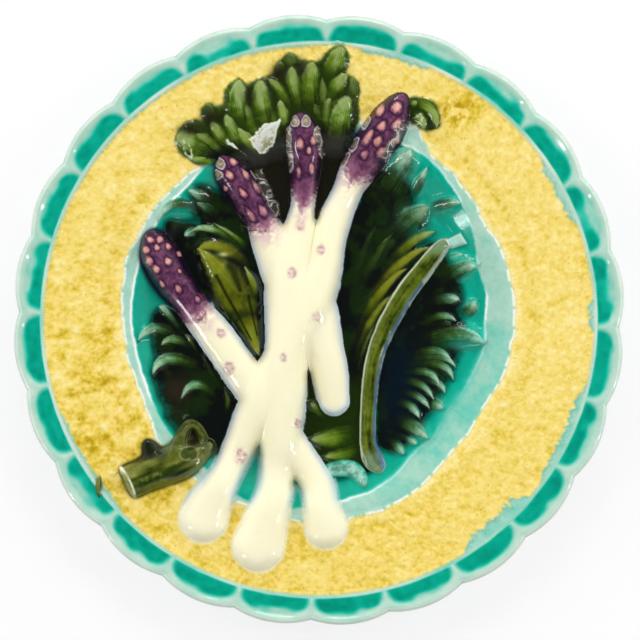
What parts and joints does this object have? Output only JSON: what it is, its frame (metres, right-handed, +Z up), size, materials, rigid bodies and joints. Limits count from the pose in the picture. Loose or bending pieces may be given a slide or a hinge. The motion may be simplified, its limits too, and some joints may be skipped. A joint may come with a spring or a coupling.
{
  "type": "asparagus plate",
  "caption": "Round plate with a scalloped, pooled border and a bundle of asparagus spears on leaves in high relief, under coloured glazes.",
  "frame": {"origin": "centre of the plate on the plane of the foot ring's resting face", "axes": "+Z up, out of the plate's face; +Y towards the tips of the upright spears, the top of the picture; +X to the right"},
  "size_m": [0.2292, 0.2292, 0.0249],
  "materials": {
    "yellow_glaze": "thick glossy lead-type glaze, pooled in the hollows",
    "foot_clay": "matt to satin glaze, worn through to clay on the resting face",
    "turquoise_glaze": "thick glossy lead-type glaze, pooled in the hollows",
    "pale_turquoise_glaze": "thick glossy lead-type glaze, pooled in the hollows",
    "green_glaze": "thick glossy lead-type glaze, pooled in the hollows",
    "dark_green_glaze": "thick glossy lead-type glaze, pooled in the hollows",
    "olive_glaze": "thick glossy lead-type glaze, pooled in the hollows",
    "cream_glaze": "thick glossy lead-type glaze, pooled in the hollows",
    "purple_glaze": "thick glossy lead-type glaze, pooled in the hollows",
    "pink_glaze": "thick glossy lead-type glaze, pooled in the hollows"
  },
  "bodies": {
    "root": {"plate_body": "yellow_glaze", "foot_ring": "foot_clay", "lobed_border": "turquoise_glaze", "border_bead": "pale_turquoise_glaze", "crest_leaf_left": "green_glaze", "crest_leaf_middle": "green_glaze", "crest_leaf_right": "green_glaze", "crest_leaf_curl": "green_glaze", "crest_hollow_left": "dark_green_glaze", "crest_hollow_right": "dark_green_glaze", "left_leaf_upper": "green_glaze", "left_leaf_lower": "green_glaze", "large_leaf_inner": "green_glaze", "large_leaf_outer": "green_glaze", "large_leaf_midrib": "olive_glaze", "large_leaf_heel": "dark_green_glaze", "large_leaf_fold": "pale_turquoise_glaze", "cut_stem": "olive_glaze", "stem_shoot": "olive_glaze", "stem_stub": "olive_glaze", "left_spear_stalk": "cream_glaze", "second_spear_stalk": "cream_glaze", "right_spear_stalk": "cream_glaze", "centre_spear_stalk": "cream_glaze", "left_spear_tip": "purple_glaze", "second_spear_tip": "purple_glaze", "right_spear_tip": "purple_glaze", "centre_spear_tip": "purple_glaze", "left_tip_scales": "pink_glaze", "second_tip_scales": "pink_glaze", "right_tip_scales": "pink_glaze", "centre_tip_scales": "pink_glaze", "stalk_buds": "pink_glaze"}
  },
  "joints": []
}
